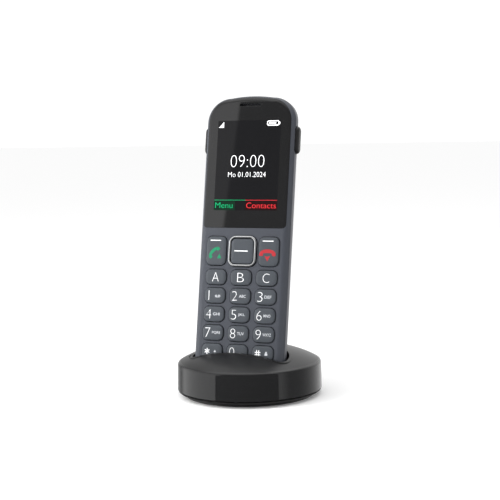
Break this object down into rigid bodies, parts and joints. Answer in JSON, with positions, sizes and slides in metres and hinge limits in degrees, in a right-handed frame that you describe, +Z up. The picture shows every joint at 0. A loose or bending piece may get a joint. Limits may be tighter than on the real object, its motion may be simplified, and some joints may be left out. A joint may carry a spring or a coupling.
{
  "type": "cordless phone with charging cradle",
  "caption": "Slim keypad handset with a colour display, leaning in a round domed charging cradle; keys press, the handset lifts out and the battery cover comes off.",
  "frame": {"origin": "middle of the cradle underside, on the surface it stands on", "axes": "+Z up, -Y the side that the keys and the display face, +X to the right of someone looking at the keys"},
  "size_m": [0.0726, 0.0724, 0.1489],
  "materials": {
    "cradle_plastic": "satin black",
    "cradle_underside": "matt black",
    "rubber": "matt",
    "face_plastic": "fine-grained matt blue-grey",
    "back_plastic": "fine-grained matt grey",
    "key_plastic": "satin blue-grey",
    "side_key_plastic": "satin black",
    "window_gloss": "polished black",
    "display_glass": "polished",
    "chrome_trim": "polished",
    "silicone": "matt",
    "board": "solder-mask gloss",
    "tin": "tinned",
    "gold": "gold plated",
    "steel": "zinc plated",
    "socket_plastic": "matt",
    "cell_wrap": "shrink film",
    "speaker": "matt"
  },
  "bodies": {
    "cradle": {"cradle_cover": "cradle_plastic", "cradle_base": "cradle_underside", "foot_ring": "rubber", "ballast_weight": "steel", "charge_board": "board", "power_inlet": "socket_plastic", "cradle_screw_1": "steel", "cradle_screw_2": "steel", "cradle_screw_3": "steel", "pin_holder": "socket_plastic"},
    "handset": {"front_shell": "face_plastic", "rear_shell": "back_plastic", "display_window": "window_gloss", "display_module": "display_glass", "keypad_mat": "silicone", "circuit_board": "board", "earpiece_speaker": "speaker", "microphone": "tin", "ringer_speaker": "speaker", "radio_shield": "tin", "antenna": "gold", "battery_cell_left": "cell_wrap", "battery_cell_right": "cell_wrap", "battery_bridge": "tin", "battery_contact_left": "tin", "battery_contact_right": "tin", "charge_pad_left": "gold", "charge_pad_right": "gold", "shell_screw_left": "steel", "shell_screw_right": "steel"},
    "battery_cover": {"battery_cover": "back_plastic"},
    "key_a": {"key_a": "key_plastic"},
    "key_b": {"key_b": "key_plastic"},
    "key_c": {"key_c": "key_plastic"},
    "key_1": {"key_1": "key_plastic"},
    "key_2": {"key_2": "key_plastic"},
    "key_3": {"key_3": "key_plastic"},
    "key_4": {"key_4": "key_plastic"},
    "key_5": {"key_5": "key_plastic"},
    "key_6": {"key_6": "key_plastic"},
    "key_7": {"key_7": "key_plastic"},
    "key_8": {"key_8": "key_plastic"},
    "key_9": {"key_9": "key_plastic"},
    "key_star": {"key_star": "key_plastic"},
    "key_0": {"key_0": "key_plastic"},
    "key_hash": {"key_hash": "key_plastic"},
    "nav_centre": {"nav_centre": "key_plastic"},
    "nav_ring": {"nav_ring": "chrome_trim"},
    "talk_key": {"talk_key": "key_plastic"},
    "end_key": {"end_key": "key_plastic"},
    "volume_rocker": {"volume_rocker": "side_key_plastic"},
    "side_button": {"side_button": "side_key_plastic"},
    "charge_pin_left": {"charge_pin_left": "gold"},
    "charge_pin_right": {"charge_pin_right": "gold"}
  },
  "joints": [
    {"name": "handset_lift", "type": "slide", "parent": "cradle", "child": "handset", "axis": [0, 0.1942, 0.981], "range_m": [0, 0.05]},
    {"name": "battery_cover_off", "type": "slide", "parent": "handset", "child": "battery_cover", "axis": [0, 0.981, -0.1942], "range_m": [0, 0.03]},
    {"name": "key_a_press", "type": "slide", "parent": "handset", "child": "key_a", "axis": [0, 0.981, -0.1942], "range_m": [0, 0.00045], "stiffness_N_per_m": 2500},
    {"name": "key_b_press", "type": "slide", "parent": "handset", "child": "key_b", "axis": [0, 0.981, -0.1942], "range_m": [0, 0.00045], "stiffness_N_per_m": 2500},
    {"name": "key_c_press", "type": "slide", "parent": "handset", "child": "key_c", "axis": [0, 0.981, -0.1942], "range_m": [0, 0.00045], "stiffness_N_per_m": 2500},
    {"name": "key_1_press", "type": "slide", "parent": "handset", "child": "key_1", "axis": [0, 0.981, -0.1942], "range_m": [0, 0.00045], "stiffness_N_per_m": 2500},
    {"name": "key_2_press", "type": "slide", "parent": "handset", "child": "key_2", "axis": [0, 0.981, -0.1942], "range_m": [0, 0.00045], "stiffness_N_per_m": 2500},
    {"name": "key_3_press", "type": "slide", "parent": "handset", "child": "key_3", "axis": [0, 0.981, -0.1942], "range_m": [0, 0.00045], "stiffness_N_per_m": 2500},
    {"name": "key_4_press", "type": "slide", "parent": "handset", "child": "key_4", "axis": [0, 0.981, -0.1942], "range_m": [0, 0.00045], "stiffness_N_per_m": 2500},
    {"name": "key_5_press", "type": "slide", "parent": "handset", "child": "key_5", "axis": [0, 0.981, -0.1942], "range_m": [0, 0.00045], "stiffness_N_per_m": 2500},
    {"name": "key_6_press", "type": "slide", "parent": "handset", "child": "key_6", "axis": [0, 0.981, -0.1942], "range_m": [0, 0.00045], "stiffness_N_per_m": 2500},
    {"name": "key_7_press", "type": "slide", "parent": "handset", "child": "key_7", "axis": [0, 0.981, -0.1942], "range_m": [0, 0.00045], "stiffness_N_per_m": 2500},
    {"name": "key_8_press", "type": "slide", "parent": "handset", "child": "key_8", "axis": [0, 0.981, -0.1942], "range_m": [0, 0.00045], "stiffness_N_per_m": 2500},
    {"name": "key_9_press", "type": "slide", "parent": "handset", "child": "key_9", "axis": [0, 0.981, -0.1942], "range_m": [0, 0.00045], "stiffness_N_per_m": 2500},
    {"name": "key_star_press", "type": "slide", "parent": "handset", "child": "key_star", "axis": [0, 0.981, -0.1942], "range_m": [0, 0.00045], "stiffness_N_per_m": 2500},
    {"name": "key_0_press", "type": "slide", "parent": "handset", "child": "key_0", "axis": [0, 0.981, -0.1942], "range_m": [0, 0.00045], "stiffness_N_per_m": 2500},
    {"name": "key_hash_press", "type": "slide", "parent": "handset", "child": "key_hash", "axis": [0, 0.981, -0.1942], "range_m": [0, 0.00045], "stiffness_N_per_m": 2500},
    {"name": "nav_centre_press", "type": "slide", "parent": "handset", "child": "nav_centre", "axis": [0, 0.981, -0.1942], "range_m": [0, 0.00045], "stiffness_N_per_m": 2500},
    {"name": "nav_ring_tilt", "type": "hinge", "parent": "handset", "child": "nav_ring", "pos_m": [0, -0.00427, 0.07226], "axis": [1, 0, 0], "range_deg": [-2.5, 2.5], "stiffness_Nm_per_rad": 0.25},
    {"name": "talk_key_rock", "type": "hinge", "parent": "handset", "child": "talk_key", "pos_m": [-0.014, -0.00427, 0.07226], "axis": [1, 0, 0], "range_deg": [-2.5, 2.5], "stiffness_Nm_per_rad": 0.25},
    {"name": "end_key_rock", "type": "hinge", "parent": "handset", "child": "end_key", "pos_m": [0.014, -0.00427, 0.07226], "axis": [1, 0, 0], "range_deg": [-2.5, 2.5], "stiffness_Nm_per_rad": 0.25},
    {"name": "volume_rock", "type": "hinge", "parent": "handset", "child": "volume_rocker", "pos_m": [0.022, 0.01055, 0.12651], "axis": [0, 0.981, -0.1942], "range_deg": [-3, 3], "stiffness_Nm_per_rad": 0.25},
    {"name": "side_button_press", "type": "slide", "parent": "handset", "child": "side_button", "axis": [1, 0, 0], "range_m": [0, 0.0005], "stiffness_N_per_m": 2500},
    {"name": "charge_pin_left_press", "type": "slide", "parent": "cradle", "child": "charge_pin_left", "axis": [0, -0.1942, -0.981], "range_m": [0, 0.0005], "stiffness_N_per_m": 400},
    {"name": "charge_pin_right_press", "type": "slide", "parent": "cradle", "child": "charge_pin_right", "axis": [0, -0.1942, -0.981], "range_m": [0, 0.0005], "stiffness_N_per_m": 400}
  ]
}
